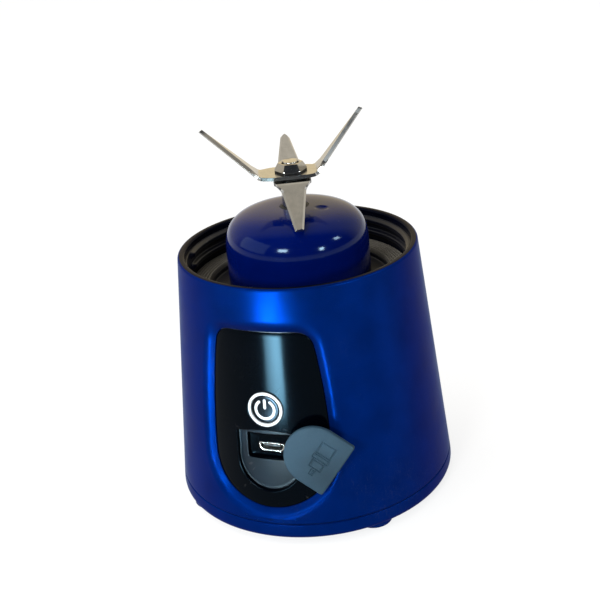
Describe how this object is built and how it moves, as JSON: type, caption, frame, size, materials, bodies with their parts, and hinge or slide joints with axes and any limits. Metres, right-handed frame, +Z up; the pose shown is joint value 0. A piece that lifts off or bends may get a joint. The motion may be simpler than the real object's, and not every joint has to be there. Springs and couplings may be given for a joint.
{
  "type": "portable blender motor base",
  "caption": "Battery motor base of a portable personal blender: conical body, power button, charging port with swivelling rubber flap, four-arm blade over a domed motor, bayonet jar collar.",
  "frame": {"origin": "on the blade axis, on the surface that the four feet stand on", "axes": "+Z up along the blade axis; the front panel, with the button and the charging port, faces -Y; +X is to the right of the panel as a person facing it sees it"},
  "size_m": [0.0886, 0.0886, 0.1205],
  "materials": {
    "shell_plastic": "satin, deep navy",
    "screw_steel": "zinc plated",
    "foot_rubber": "matte",
    "collar_plastic": "satin, near black navy",
    "seal_rubber": "ribbed, grey brown",
    "dome_plastic": "gloss, deep navy",
    "shaft_rubber": "soft black",
    "plate_steel": "zinc plated",
    "can_steel": "plain",
    "magnet_ferrite": "matte",
    "cap_plastic": "moulded black",
    "brush_copper": "copper and graphite",
    "bearing_bronze": "sintered bronze",
    "panel_plastic": "high gloss black",
    "ring_plastic": "white, light diffusing",
    "port_steel": "tin plated",
    "port_plastic": "moulded black",
    "board_laminate": "green solder mask",
    "cell_sleeve": "shrink sleeve",
    "tray_plastic": "moulded black",
    "tab_nickel": "nickel strip",
    "lead_red": "insulated wire",
    "lead_black": "insulated wire",
    "shaft_steel": "ground",
    "winding_copper": "enamelled copper wire",
    "blade_steel": "polished stainless",
    "nut_steel": "polished stainless",
    "washer_plastic": "black",
    "button_plastic": "gloss black",
    "flap_rubber": "matte slate grey"
  },
  "bodies": {
    "base": {"outer_shell": "shell_plastic", "bottom_cover": "shell_plastic", "cover_screws": "screw_steel", "rubber_feet": "foot_rubber", "jar_collar": "collar_plastic", "seal_ring": "seal_rubber", "motor_dome": "dome_plastic", "dome_screws": "screw_steel", "shaft_seal": "shaft_rubber", "motor_mount": "plate_steel", "mount_screws": "screw_steel", "motor_screws": "screw_steel", "motor_can": "can_steel", "field_magnets": "magnet_ferrite", "motor_end_cap": "cap_plastic", "brushes": "brush_copper", "upper_bearing": "bearing_bronze", "lower_bearing": "bearing_bronze", "front_panel": "panel_plastic", "button_ring": "ring_plastic", "usb_shell": "port_steel", "usb_tongue": "port_plastic", "charge_board": "board_laminate", "control_board": "board_laminate", "tact_switch": "cap_plastic", "board_screws": "screw_steel", "battery_cell_front": "cell_sleeve", "battery_cell_rear": "cell_sleeve", "battery_tray": "tray_plastic", "battery_tabs": "tab_nickel", "motor_leads": "lead_red", "battery_leads": "lead_black"},
    "rotor": {"motor_shaft": "shaft_steel", "rotor_core": "can_steel", "rotor_windings": "winding_copper", "commutator": "brush_copper", "blade_hub": "blade_steel", "lower_blade": "blade_steel", "blade_spacer": "washer_plastic", "upper_blade": "blade_steel", "blade_nut": "nut_steel"},
    "button": {"power_button": "button_plastic", "power_symbol": "ring_plastic", "switch_plunger": "cap_plastic"},
    "flap_stem": {"flap_stem": "flap_rubber"},
    "flap": {"port_flap": "flap_rubber"}
  },
  "joints": [
    {"name": "blade_spin", "type": "hinge", "parent": "base", "child": "rotor", "pos_m": [0, 0, 0.08], "axis": [0, 0, 1], "continuous": true},
    {"name": "button_press", "type": "slide", "parent": "base", "child": "button", "axis": [0, 0.9953, -0.097], "range_m": [0, 0.0006], "stiffness_N_per_m": 300},
    {"name": "flap_pull", "type": "slide", "parent": "base", "child": "flap_stem", "axis": [0.0696, -0.9953, 0.068], "range_m": [-0.0025, 0]},
    {"name": "flap_swivel", "type": "hinge", "parent": "flap_stem", "child": "flap", "pos_m": [0.0085, -0.03944, 0.02424], "axis": [0.0696, -0.9953, 0.068], "range_deg": [0, 124]}
  ]
}
